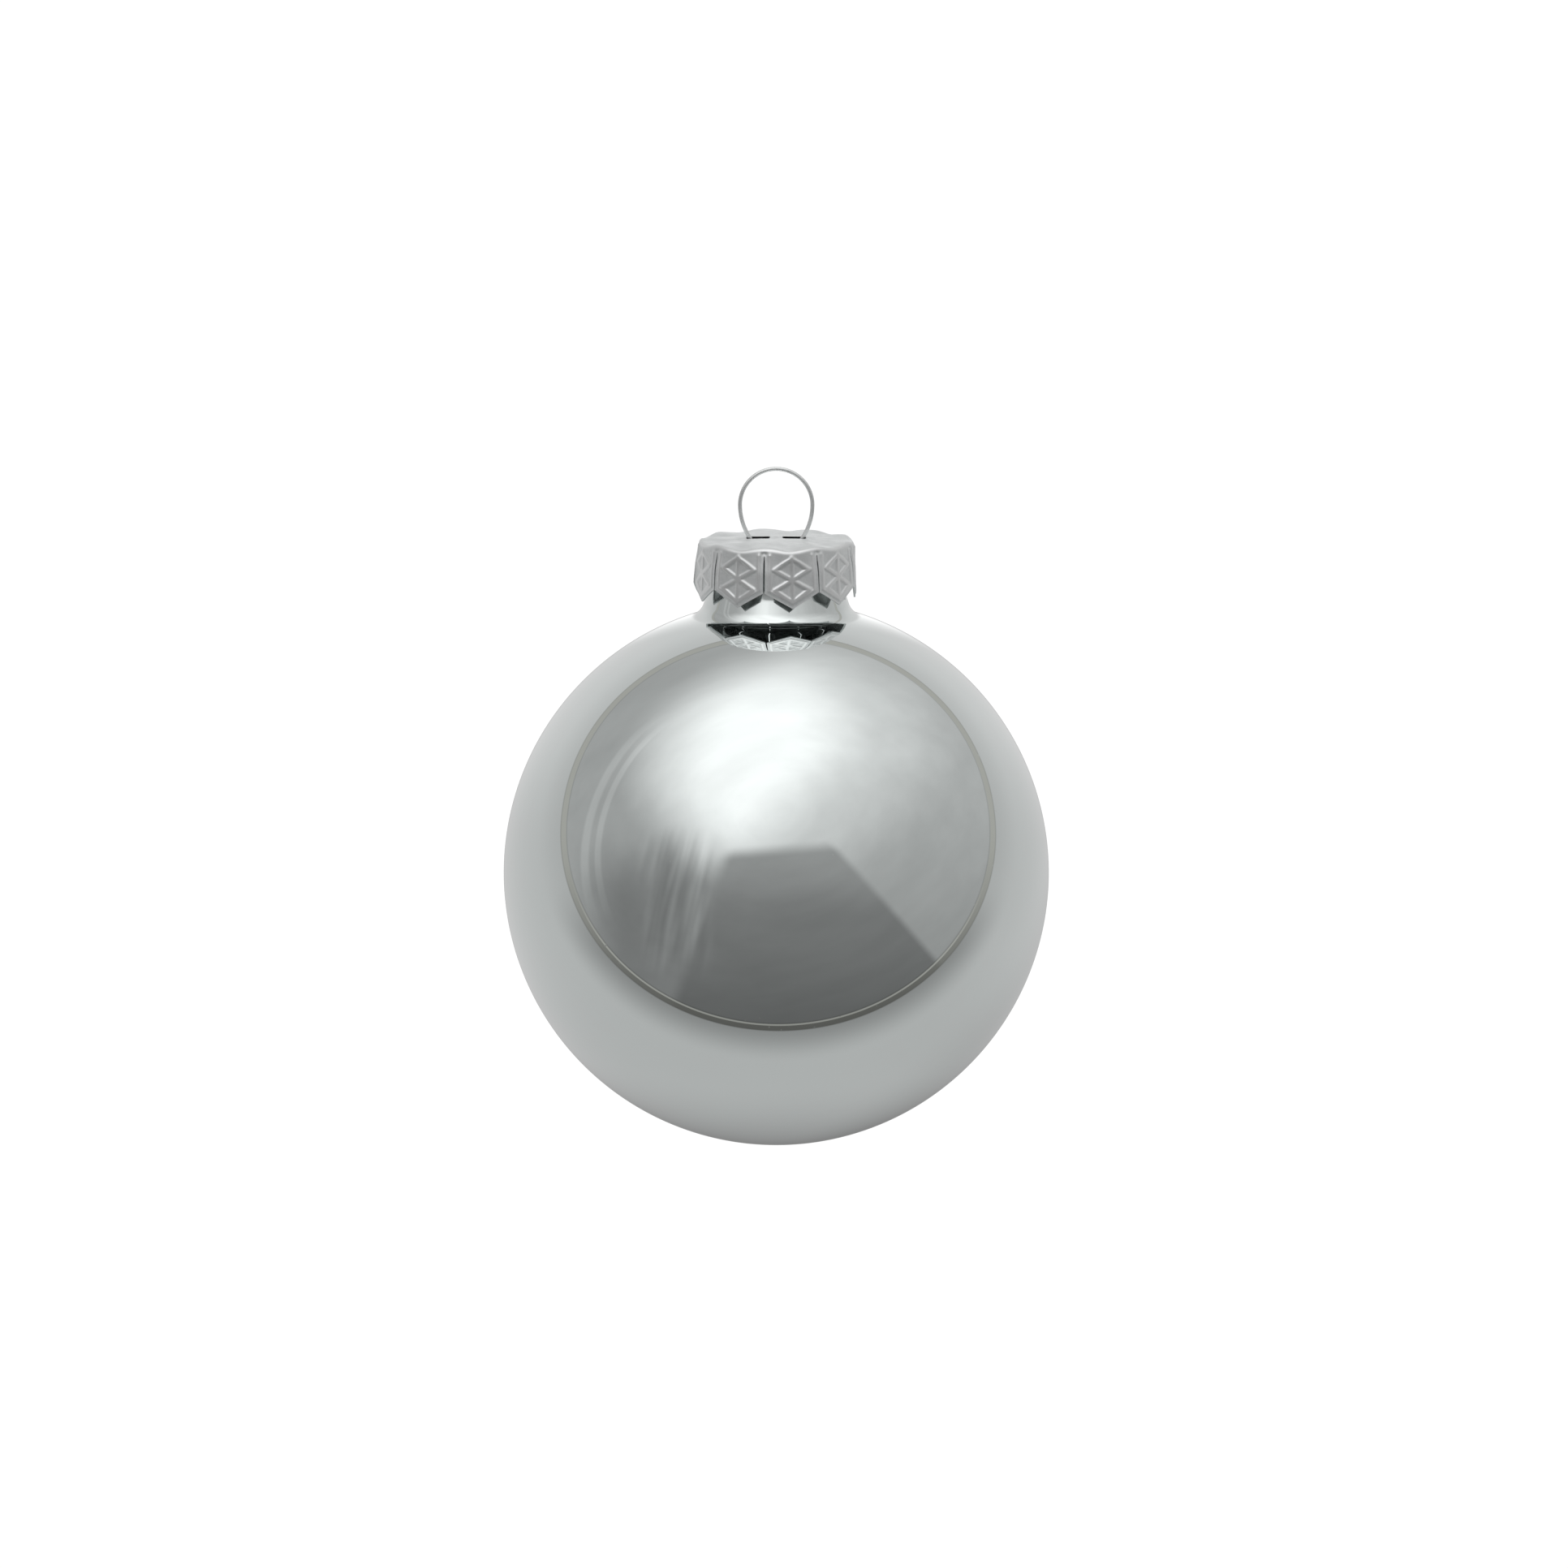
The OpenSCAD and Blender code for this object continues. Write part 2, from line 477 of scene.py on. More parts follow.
@dataclass(frozen=True)
class Finish:
    """What every finish of the ornament has. Each kind of finish has its own way to coat.

    Attributes:
        name: Name of the material.
        colour: Linear base colour.
        roughness: Roughness of the clean surface.
        smudges: Strength of the smudges.
        scratches: Strength of the fine scratches.
        grain: Strength of the fine grain.
        bump: Depth of the marks, in millimetres.
    """

    GLOSS: ClassVar[dict[str, float]] = {"Metallic": 1.0}

    name: str
    colour: tuple[float, float, float]
    roughness: float
    smudges: float
    scratches: float
    grain: float
    bump: float

    @property
    def paint(self) -> tuple[float, float, float, float]:
        """The base colour, opaque."""
        return (*self.colour, 1.0)

    def coat(self, board: Board, place: Socket, marks: Marks) -> Coat:
        """Lays the finish on.

        Args:
            board: The material's board.
            place: The place on the piece, in metres.
            marks: Roughness, Shade and Height of the handling marks.

        Returns:
            The surface's colour, roughness and height.
        """
        raise NotImplementedError

    def material(self) -> bpy.types.Material:
        """Returns a new material with this finish."""
        material = bpy.data.materials.new(self.name)
        board = Board(emptied(material))
        place = board.node("ShaderNodeTexCoord", {}).outputs["Object"]
        marks = {
            "Place": place,
            "Smudges": self.smudges,
            "Scratches": self.scratches,
            "Grain": self.grain,
        }
        group = board.node("ShaderNodeGroup", marks, node_tree=MarksGroup.tree())
        colour, rough, height = self.coat(board, place, group.outputs)
        bump = {"Height": height, "Strength": 1.0, "Distance": self.bump * MM}
        look = {
            "Base Color": colour,
            "Roughness": rough,
            "Normal": board.node("ShaderNodeBump", bump).outputs[0],
        }
        shader = board.node("ShaderNodeBsdfPrincipled", look | self.GLOSS)
        board.node("ShaderNodeOutputMaterial", {"Surface": shader.outputs[0]})
        return material


@dataclass(frozen=True)
class SilveredGlass(Finish):
    """Blown glass with a mirror film behind it, faintly uneven from blowing.

    Attributes:
        ripple: Share of the bump that the blown unevenness makes up.
    """

    GLOSS: ClassVar[dict[str, float]] = {
        "Metallic": 1.0,
        "Coat Weight": 1.0,
        "Coat IOR": GLASS_IOR,
        "Coat Roughness": 0.015,
    }

    ripple: float = 0.0

    def coat(self, board: Board, place: Socket, marks: Marks) -> Coat:
        """Lays on the blown unevenness and a little dust, as Finish.coat says."""
        wave = board.noise(place, 70.0, 1.0)
        dust = board.slide(board.noise(place, 2600.0, 0.0), 0.8, 0.86)
        shade = board.times(marks["Shade"], board.slide(wave, 0.2, 0.8, 1.0, 0.975))
        colour = board.tint(shade, (0.60, 0.61, 0.61, 1.0), self.paint)
        rough = board.share(dust, 0.12, marks["Roughness"])
        height = board.share(wave, self.ripple, marks["Height"])
        return colour, board.plus(rough, self.roughness), height


@dataclass(frozen=True)
class BareGlass(Finish):
    """Clear glass at the rim, where the film stops short."""

    GLOSS: ClassVar[dict[str, float]] = {"Transmission Weight": 1.0, "IOR": GLASS_IOR}

    def coat(self, board: Board, place: Socket, marks: Marks) -> Coat:
        """Lays on the handling marks alone, as Finish.coat says."""
        colour = board.tint(marks["Shade"], (0.75, 0.8, 0.78, 1.0), self.paint)
        return colour, board.plus(marks["Roughness"], self.roughness), marks["Height"]


@dataclass(frozen=True)
class MirrorFilm(Finish):
    """Mirror film with its thin lacquer, a little uneven where it ran when it dried."""

    def coat(self, board: Board, place: Socket, marks: Marks) -> Coat:
        """Lays on the runs of the lacquer, as Finish.coat says."""
        runs = board.noise(board.stretch(place, (420.0, 420.0, 60.0)), 1.0, 3.0)
        colour = board.tint(board.slide(runs, 0.35, 0.7), (0.62, 0.61, 0.58, 1.0), self.paint)
        rough = board.share(runs, 0.2, marks["Roughness"])
        return colour, board.plus(rough, self.roughness), board.plus(runs, marks["Height"])


@dataclass(frozen=True)
class StampedAluminium(Finish):
    """Thin aluminium sheet, satin, with raised lines that the die has polished, and painted shade
    on the underside of its plate.

    Attributes:
        polish: How much smoother the raised lines are.
    """

    polish: float = 0.0

    def coat(self, board: Board, place: Socket, marks: Marks) -> Coat:
        """Lays on grain, clouds, polished lines and painted shade underneath, as Finish.coat says.
        """
        raised, painted_shade_underside = (
            board.node("ShaderNodeAttribute", {}, attribute_name=name).outputs["Fac"]
            for name in ("raised", "inside")
        )
        rolled = board.noise(board.stretch(place, (300.0, 6000.0, 3000.0), (0, 0, 20)), 1.0, 2.0)
        cloud = board.noise(place, 450.0, 3.0)
        worn = board.times(raised, board.slide(cloud, 0.3, 0.7, 0.5, 1.0))
        dull = board.tint(board.slide(cloud, 0.3, 0.75), self.paint, (0.84, 0.86, 0.86, 1.0))
        lines = board.slide(rolled, 0.3, 0.8, 0.0, 0.35)
        shaded = board.tint(lines, dull, (0.72, 0.735, 0.74, 1.0))
        shown = board.tint(worn, shaded, (0.93, 0.94, 0.94, 1.0))
        # painted shade: the inner wall under the plate, which lies in shade, is painted dark grey
        colour = board.tint(painted_shade_underside, shown, (0.22, 0.22, 0.215, 1.0))
        base = board.blend(worn, self.roughness, self.roughness - self.polish)
        rough = board.plus(board.share(cloud, 0.12, base), marks["Roughness"])
        height = board.share(rolled, 0.5, marks["Height"])
        return colour, rough, board.share(cloud, 1.6, height)


@dataclass(frozen=True)
class SpringWire(Finish):
    """Drawn steel wire, semi-bright, with lines along its length from the die."""

    def coat(self, board: Board, place: Socket, marks: Marks) -> Coat:
        """Lays on the drawn lines and dull patches, as Finish.coat says."""
        way = board.node("ShaderNodeUVMap", {}, uv_map="along").outputs[0]
        drawn = board.noise(board.stretch(way, (60.0, 3.0, 1.0)), 1.0, 3.0)
        patch = board.noise(place, 900.0, 2.0)
        dull = board.tint(board.slide(patch, 0.35, 0.7), self.paint, (0.88, 0.895, 0.89, 1.0))
        lines = board.slide(drawn, 0.3, 0.75, 0.0, 0.25)
        colour = board.tint(lines, dull, (0.72, 0.735, 0.73, 1.0))
        rough = board.share(drawn, 0.1, marks["Roughness"])
        return colour, board.plus(rough, self.roughness), board.plus(drawn, marks["Height"])


# ---------------------------------------------------------------- the ball


@dataclass
class Ball:
    """The blown ball with its neck, and the mirror film inside it.

    Attributes:
        radius: Outer radius of the ball.
        centre_z: Height of its centre.
        rim_z: Height of the neck's rim.
        neck_r: Outer radius of the neck.
        fillet: Radius of the fillet where the neck grows out of the ball.
        cone: Slant of the neck's foot, over the fillet.
        cone_top: Height of the foot's slanted part over the fillet's centre.
        ease: Radius of the bend from the foot into the straight neck.
        wall: Thickness of the glass.
        film: Thickness of the film.
        film_stop: Distance that the film stops short of the rim.
        turn_steps: Steps round the axis.
    """

    radius: float
    centre_z: float
    rim_z: float
    neck_r: float = 8.75
    fillet: float = 2.5
    cone: float = 18.0
    cone_top: float = 0.55
    ease: float = 4.0
    wall: float = 0.7
    film: float = 0.06
    film_stop: float = 1.2
    turn_steps: int = 256

    @classmethod
    def from_frame(cls) -> "Ball":
        """Returns the ball with its place and size taken from the part."""
        low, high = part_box("glass_ball")
        radius = (high.x - low.x) / 2 / MM
        return cls(radius=radius, centre_z=low.z / MM + radius, rim_z=high.z / MM)

    def _fillet_place(self) -> tuple[float, float, float]:
        """Returns the fillet centre's distance from the axis, its height and its angle."""
        x = self.neck_r + self.fillet
        rise = math.sqrt((self.radius + self.fillet) ** 2 - x * x)
        return x, self.centre_z + rise, math.degrees(math.atan2(rise, x))

    def _ease_place(self) -> tuple[float, float]:
        """Returns the centre of the bend over the neck's foot."""
        x, z, _ = self._fillet_place()
        slant = math.radians(self.cone)
        foot_x = x - self.fillet * math.cos(slant)
        foot_z = z - self.fillet * math.sin(slant)
        top_z = z + self.cone_top
        top_x = foot_x - (top_z - foot_z) * math.tan(slant)
        return top_x + self.ease * math.cos(slant), top_z + self.ease * math.sin(slant)

    def _up_neck(self, lathe: Lathe, inset: float, top: float, steps: int) -> None:
        """Draws the ball's meridian and the neck from the bottom up to a height.

        Args:
            lathe: The lathe, at the ball's lowest point.
            inset: Distance inwards from the outside of the glass.
            top: Height to end at.
            steps: Steps along the ball's meridian.
        """
        x, z, lean = self._fillet_place()
        ease_x, ease_z = self._ease_place()
        slant = math.radians(self.cone)
        lathe.arc(0.0, self.centre_z, 90.0 + lean, steps)
        lathe.arc(x, z, self.cone - lean, 18)
        reach = self.ease + inset
        lathe.run(ease_x - reach * math.cos(slant), ease_z - reach * math.sin(slant))
        lathe.arc(ease_x, ease_z, -self.cone, 10)
        lathe.run(ease_x - reach, top)

    def _down_neck(self, lathe: Lathe, inset: float, steps: int) -> None:
        """Draws the neck and the ball's meridian from the neck's top down to the bottom.

        Args:
            lathe: The lathe, at the neck's top.
            inset: Distance inwards from the outside of the glass.
            steps: Steps along the ball's meridian.
        """
        x, z, lean = self._fillet_place()
        ease_x, ease_z = self._ease_place()
        slant = math.radians(self.cone)
        reach = self.fillet + inset
        lathe.run(ease_x - self.ease - inset, ease_z)
        lathe.arc(ease_x, ease_z, self.cone, 8)
        lathe.run(x - reach * math.cos(slant), z - reach * math.sin(slant))
        lathe.arc(x, z, lean - self.cone, 10)
        lathe.arc(0.0, self.centre_z, -90.0 - lean, steps)

    def build_glass(self) -> bpy.types.Object:
        """Returns the glass: a turned shell with a rounded rim, open at the neck."""
        lip = self.wall / 2
        lathe = Lathe("blown_glass_ball", 0.0, self.centre_z - self.radius)
        self._up_neck(lathe, 0.0, self.rim_z - self.film_stop, 112)
        wide = lathe.point[0]
        lathe.run(wide, self.rim_z - lip)
        lathe.arc(wide - lip, self.rim_z - lip, 180.0, 8)
        lathe.run(wide - self.wall, self.rim_z - self.film_stop)
        self._down_neck(lathe, self.wall, 56)
        return lathe.turn(self.turn_steps)

    def build_film(self) -> bpy.types.Object:
        """Returns the film: a thin turned shell on the inside of the glass."""
        lathe = Lathe("mirror_film", 0.0, self.centre_z - self.radius + self.wall)
        self._up_neck(lathe, self.wall, self.rim_z - self.film_stop, 64)
        lathe.run(lathe.point[0] - self.film, lathe.point[1])
        self._down_neck(lathe, self.wall + self.film, 64)
        return lathe.turn(self.turn_steps // 2)

    def dress(self, glass: bpy.types.Object, film: bpy.types.Object) -> None:
        """Gives the glass and the film their finishes.

        Args:
            glass: The glass shell.
            film: The film inside it.
        """
        silvered = SilveredGlass(
            "silvered_glass", (0.856, 0.902, 0.891), 0.012, 0.02, 0.012, 0.0, 0.0012, ripple=1.0
        )
        bare = BareGlass("bare_glass", (0.96, 0.985, 0.975), 0.02, 0.04, 0.02, 0.0, 0.002)
        glass.data.materials.append(silvered.material())
        glass.data.materials.append(bare.material())
        centres = np.empty(len(glass.data.polygons) * 3, np.float32)
        glass.data.polygons.foreach_get("center", centres)
        above = centres.reshape(-1, 3)[:, 2] > (self.rim_z - self.film_stop) * MM
        glass.data.polygons.foreach_set("material_index", above.astype(np.int32))
        lacquered = MirrorFilm("lacquered_film", (0.83, 0.84, 0.83), 0.12, 0.08, 0.02, 0.0, 0.01)
        film.data.materials.append(lacquered.material())
        smooth(glass, 40.0)
        smooth(film, 40.0)

    def fit(self) -> None:
        """Builds the glass and the film, and hangs them on the ball's body."""
        glass, film = self.build_glass(), self.build_film()
        self.dress(glass, film)
        hand_over(glass, Body.BALL, Slot.GLASS, "glass_ball")
        hand_over(film, Body.BALL, Slot.FILM, "silver_lining")


# ---------------------------------------------------------------- the cap


@dataclass
class CrownCap:
    """The stamped cap, drawn over from a flat star of sheet with its petals already embossed.

    In the flat blank, a point's distance from the middle is its path along the finished cap's
    profile, and its direction is its direction round the cap.

    Attributes:
        top_z: Height of the middle of the plate.
        tip_z: Height of the petal tips.
        petals: Number of petals.
        turn: Direction of the first petal from straight ahead.
        radius: Outer radius at the petal tops.
        flare: How far the tips stand out past the petal tops.
        fold: Radius of the fold.
        rise: Height of the highest point of the plate over its edge.
        sink: How far the crowned plate stays below its slots' lips.
        sheet: Thickness of the sheet.
        slit: Width of the slits.
        slit_drop: Distance from the ridge down to the start of the slits.
        point: Height of the pointed end of each petal.
        rib: Height of the raised lines.
        rib_half: Half their width.
        corner_x: Distance of the hexagon's side corners from a petal's middle.
        hexagon_drop: Distance from the ridge down to the hexagon's top corner.
        hexagon_foot: Distance from the tips up to the hexagon's lowest corner.
        columns: Steps across each petal.
        plate_rows: Steps over the outer part of the plate.
        fold_rows: Steps over the fold.
        petal_rows: Steps down each petal.
        hub_r: Radius of the plate's middle part, which is made of rings.
        hub_gap: Gap left round it, to be bridged.
        slot: Nearest and farthest distance of a wire slot from the axis, and half its width.
    """

    top_z: float
    tip_z: float
    petals: int = 9
    turn: float = 11.3
    radius: float = 9.4
    flare: float = 0.45
    fold: float = 0.5
    rise: float = 0.3
    sink: float = 0.08
    sheet: float = 0.22
    slit: float = 0.2
    slit_drop: float = 0.9
    point: float = 1.95
    rib: float = 0.125
    rib_half: float = 0.37
    corner_x: float = 2.02
    hexagon_drop: float = 0.97
    hexagon_foot: float = 0.77
    columns: int = 58
    plate_rows: int = 6
    fold_rows: int = 8
    petal_rows: int = 66
    hub_r: float = 5.0
    hub_gap: float = 0.12
    slot: tuple[float, float, float] = (0.77, 3.63, 0.65)

    def __post_init__(self) -> None:
        """Works out the heights that follow from the sizes."""
        self.pitch = math.tau / self.petals
        self.ridge_z = self.top_z - self.rise
        self.skirt = self.ridge_z - self.tip_z
        self.fold_x = self.radius - self.fold
        self.fold_path = self.fold_x + self.fold * math.pi / 2
        self.end_path = self.fold_path + self.skirt - self.fold
        self.slope = self.point / (self.radius * math.sin(self.pitch / 2))

    @classmethod
    def from_frame(cls) -> "CrownCap":
        """Returns the cap with its heights taken from the part."""
        low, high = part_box("cap")
        return cls(top_z=high.z / MM, tip_z=low.z / MM)

    def _blank_sector(self) -> bpy.types.Object:
        """Returns one petal of the flat star with its share of the plate, pointing to -Y."""
        rows = self.plate_rows + self.fold_rows + self.petal_rows
        bpy.ops.mesh.primitive_grid_add(
            x_subdivisions=self.columns, y_subdivisions=rows, size=2.0 * MM
        )
        piece = begin("blank_petal")
        grid = places(piece)
        across, down = grid[:, 0], (1.0 - grid[:, 1]) / 2 * rows
        row = np.rint(down)
        slit_path = self.fold_path - self.fold + self.slit_drop
        plate = self.hub_r + (self.fold_x - self.hub_r) * row / self.plate_rows
        fold = self.fold_x + (slit_path - self.fold_x) * (row - self.plate_rows) / self.fold_rows
        share = (row - self.plate_rows - self.fold_rows) / self.petal_rows
        taper = 0.45 + 0.55 * smoothstep(0, 0.25, share)
        width = np.where(share > 0, 0.5 * self.slit * taper, 0.0)
        angle = across * (self.pitch / 2 - width / self.radius)
        end = self.end_path - self.slope * np.abs(self.radius * np.sin(angle))
        petal = slit_path + (end - slit_path) * share
        path = np.where(row <= self.plate_rows, plate, np.where(share <= 0, fold, petal))
        put(piece, np.stack([path * np.sin(angle), -path * np.cos(angle), 0 * path], 1))
        return piece

    def _star(self) -> bpy.types.Object:
        """Returns the whole flat star: nine petals round a plate made of rings."""
        sector = self._blank_sector()
        for index in range(self.petals):
            work_on(sector)
            bpy.ops.object.duplicate()
            copy = bpy.context.object
            turn = math.radians(self.turn) + index * self.pitch
            copy.data.transform(Matrix.Rotation(turn, 4, "Z"))
            copy.name = f"petal_{index}"
        bpy.data.objects.remove(sector)
        rings, spokes = 24, self.petals * 16
        edge_r = self.hub_r - self.hub_gap
        bpy.ops.mesh.primitive_circle_add(vertices=spokes, radius=edge_r * MM, fill_type="NGON")
        plate = begin("stamped_cap")
        edit(plate)
        for _ in range(rings):
            bpy.ops.mesh.inset(thickness=edge_r / (rings + 1) * MM)
        bpy.ops.mesh.poke()
        bpy.ops.object.mode_set(mode="OBJECT")
        for index in range(self.petals):
            bpy.data.objects[f"petal_{index}"].select_set(True)
        bpy.ops.object.join()
        close_up(plate, outwards=False)
        reach = np.hypot(*places(plate)[:, :2].T)
        pick(plate, np.abs(reach - self.hub_r + self.hub_gap / 2) < 0.08)
        bpy.ops.mesh.bridge_edge_loops()
        bpy.ops.mesh.select_all(action="SELECT")
        bpy.ops.mesh.normals_make_consistent(inside=False)
        bpy.ops.object.mode_set(mode="OBJECT")
        return plate

    def _relief(self, side: np.ndarray, drop: np.ndarray) -> np.ndarray:
        """Returns the embossing's height, from 0 to 1.

        Args:
            side: Distance sideways from the petal's middle.
            drop: Distance below the ridge.

        Returns:
            The height of each point.
        """
        low = self.skirt - self.hexagon_foot
        half = (low - self.hexagon_drop) / 2
        hub = (0.0, self.hexagon_drop + half)
        ring = [
            (self.corner_x * across, hub[1] - half * up)
            for across, up in ((0, 1), (1, 0.45), (1, -0.45), (0, -1), (-1, -0.45), (-1, 0.45))
        ]
        lines = [(hub, corner) for corner in ring]
        lines += [(ring[k], ring[(k + 1) % 6]) for k in (0, 2, 3, 5)]
        lines.append(((0.0, self.hexagon_drop - 0.12), hub))
        height = np.zeros_like(side)
        for (ax, ay), (bx, by) in lines:
            run = math.hypot(bx - ax, by - ay)
            along = np.clip(((side - ax) * (bx - ax) + (drop - ay) * (by - ay)) / run**2, 0, 1)
            away = np.hypot(side - ax - along * (bx - ax), drop - ay - along * (by - ay))
            height = np.maximum(height, 1 - smoothstep(0.4, 1.0, away / self.rib_half))
        edge = self.skirt - self.slope * np.abs(side) - drop
        inside_v = edge / math.hypot(1.0, self.slope)
        inside_side = self.radius * math.sin(self.pitch / 2) - self.slit / 2 - np.abs(side)
        inside = np.minimum(inside_v, inside_side)
        top = np.maximum(0.75 - drop, 0)
        bead = 1 - smoothstep(0.25, 1.0, np.hypot((inside - 0.54) / 0.29, top / 0.2))
        return np.maximum(height, 0.92 * bead) * smoothstep(0.5, 0.62, drop)

    def _polar(self, blank: np.ndarray) -> tuple[np.ndarray, ...]:
        """Finds points of the flat star by their petal.

        Args:
            blank: Places in the flat star.

        Returns:
            Their angle, their path, the number of their petal and their angle from its middle.
        """
        angle = np.arctan2(blank[:, 0], -blank[:, 1])
        turned = (angle - math.radians(self.turn)) / self.pitch
        index = np.rint(turned)
        off = (turned - index) * self.pitch
        return angle, np.hypot(blank[:, 0], blank[:, 1]), np.mod(index, self.petals), off

    def _formed(self, blank: np.ndarray, depth: float, crisp: float) -> np.ndarray:
        """Returns where points of the flat star lie on the finished cap.

        Args:
            blank: Places in the flat star.
            depth: Distance inwards from the sheet's outside.
            crisp: Share of the embossing's height that shows on this side.

        Returns:
            The places on the cap, in the same order.
        """
        angle, path, which, off = self._polar(blank)
        gap = 0.5 - 0.5 * np.cos(off * self.petals)

        bend = np.clip((path - self.fold_x) / self.fold, 0, math.pi / 2)
        below = np.maximum(path - self.fold_path, 0)
        share = below / (self.end_path - self.fold_path)
        lean = np.arctan2(self.flare, self.skirt - self.fold)

        crown = (self.rise - self.sink) * (1 - np.minimum(path / self.fold_x, 1) ** 2)
        x = np.minimum(path, self.fold_x) + (self.fold - depth) * np.sin(bend)
        z = self.ridge_z + crown - self.fold + (self.fold - depth) * np.cos(bend)
        z -= below
        personal = 0.2 * np.sin(2.3 * which + 0.6) * share**2
        curl = 0.30 * (np.abs(off) / (self.pitch / 2)) ** 2 * smoothstep(0.0, 0.4, share)
        bulge = 0.10 * (1 - gap) * np.sin(bend) * (1 - smoothstep(0.0, 0.35, share))
        x += self.flare * share + personal + curl + bulge

        ridge = smoothstep(4.2, self.fold_x, path) * (1 - smoothstep(0.0, 1.6, below))
        z += (0.32 * gap - 0.17) * ridge
        crease = np.sin(7 * angle + 1.3 * np.sin(0.9 * path)) * np.sin(13 * angle + 2.1)
        z += 0.045 * crease * smoothstep(2.5, 6.5, path) * (1 - np.sin(bend))

        side = self.radius * np.sin(off)
        press = self.rib * crisp * self._relief(side, self.fold + below)
        dimple = 0.12 * np.exp(-((self.pitch / 2 - np.abs(off)) * self.radius / 0.3) ** 2)
        dimple *= np.exp(-(((self.fold + below) - 0.62) / 0.22) ** 2)
        press = np.where(path > self.fold_path, press - dimple, 0.0)
        x += press * np.cos(lean)
        z += press * np.sin(lean)

        angle = angle + 0.008 * np.sin(3.1 * which + 1.0) * share
        flat_x, flat_y = x * np.sin(angle), -x * np.cos(angle)
        z += self._slot_lips(flat_x, flat_y)
        return np.stack([flat_x, flat_y, z], 1)

    def _slot_lips(self, x: np.ndarray, y: np.ndarray) -> np.ndarray:
        """Returns how far the plate is pushed up round its slots and down beside the wires.

        Args:
            x: Places across.
            y: Places to the back.

        Returns:
            The rise of each point.
        """
        near, far, half = self.slot
        middle, reach = (near + far) / 2, (far - near) / 2
        gap_x = np.maximum(np.abs(np.abs(x) - middle) - reach, 0)
        gap_y = np.maximum(np.abs(y) - half, 0)
        lip = (0.03 + 0.05 * np.tanh(y / 0.3)) * np.exp(-((np.hypot(gap_x, gap_y) / 0.28) ** 2))
        bridge = 0.16 * np.exp(-((x / 0.5) ** 2) - (y / 0.7) ** 2)
        dents = 0.14 * np.exp(-(((np.abs(x) - 4.5) / 0.45) ** 2) - ((y + 0.9) / 0.5) ** 2)
        return lip + bridge - dents

    def build(self) -> bpy.types.Object:
        """Returns the finished cap."""
        cap = self._star()
        blank = places(cap)
        outer = self._formed(blank, 0.0, 1.0)
        inner = self._formed(blank, self.sheet, 0.45)
        finish_modifier(cap, "SOLIDIFY", thickness=self.sheet * MM, offset=-1.0)
        self._check_walls(places(cap), blank)
        put(cap, np.concatenate([outer, inner]))
        raised = self._raised(blank)
        # painted shade: a mask on the inner wall under the plate, where the cap is painted dark as
        # shade
        painted_shade_underside = 1 - smoothstep(7.4, 8.6, self._polar(blank)[1])
        for name, shown in (("raised", [raised, 0 * raised]), ("inside", [0 * painted_shade_underside, painted_shade_underside])):
            layer = cap.data.attributes.new(name, "FLOAT", "POINT")
            layer.data.foreach_set("value", np.concatenate(shown).astype(np.float32))
        log.info("cap: %d points on each side", len(blank))
        self._cut_slots(cap)
        smooth(cap, 50.0)
        return cap

    def _check_walls(self, flat: np.ndarray, blank: np.ndarray) -> None:
        """Stops if the second wall isn't a copy of the first, point for point."""
        count = len(blank)
        if len(flat) != 2 * count or np.abs(flat[count:, :2] - blank[:, :2]).max() > 0.05:
            raise RuntimeError("the cap's second wall doesn't follow its first")

    def _raised(self, blank: np.ndarray) -> np.ndarray:
        """Returns how raised each point of the star is, from 0 to 1.

        Args:
            blank: Places in the flat star.

        Returns:
            A number for each point.
        """
        _, path, _, off = self._polar(blank)
        drop = self.fold + path - self.fold_path
        lines = self._relief(self.radius * np.sin(off), drop) * (path > self.fold_path - 0.4)
        ridge = np.exp(-(((path - self.fold_x - 0.45) / 0.3) ** 2))
        return np.maximum(lines, ridge)

    def _cut_slots(self, cap: bpy.types.Object) -> None:
        """Cuts the two slots for the wires, wider below, so that they show no inner walls.

        Args:
            cap: The cap to cut.
        """
        near, far, half = self.slot
        middle_z = self.top_z - 0.25
        for side in (-1, 1):
            place = (side * (near + far) / 2 * MM, 0.0, middle_z * MM)
            bpy.ops.mesh.primitive_cube_add(size=1.0, location=place)
            cutter = bpy.context.object
            cutter.scale = ((far - near) * MM, 2 * half * MM, 1.5 * MM)
            begin("slot_cutter")
            edit(cutter)
            bpy.ops.mesh.select_all(action="DESELECT")
            bpy.ops.object.mode_set(mode="OBJECT")
            for edge in cutter.data.edges:
                a, b = (cutter.data.vertices[i].co for i in edge.vertices)
                edge.select = abs(a.z - b.z) > 1.0 * MM
            bpy.ops.object.mode_set(mode="EDIT")
            bpy.ops.mesh.select_mode(type="EDGE")
            bpy.ops.mesh.bevel(offset=0.3 * MM, segments=4)
            bpy.ops.object.mode_set(mode="OBJECT")
            corners = places(cutter)
            below = corners[:, 2] < middle_z
            corners[:, 1] *= np.where(below, (half + 1.0) / half, (half - 0.5) / half)
            put(cutter, corners)
            finish_modifier(cap, "BOOLEAN", object=cutter, operation="DIFFERENCE", solver="EXACT")
            bpy.data.objects.remove(cutter)

    def fit(self) -> None:
        """Builds the cap and seats it on its body."""
        cap = self.build()
        sheet = StampedAluminium(
            "stamped_aluminium", (0.93, 0.95, 0.95), 0.40, 0.05, 0.05, 0.3, 0.010, polish=0.19
        )
        cap.data.materials.append(sheet.material())
        hand_over(cap, Body.CAP, Slot.SHEET, "cap")


# ---------------------------------------------------------------- the hanger


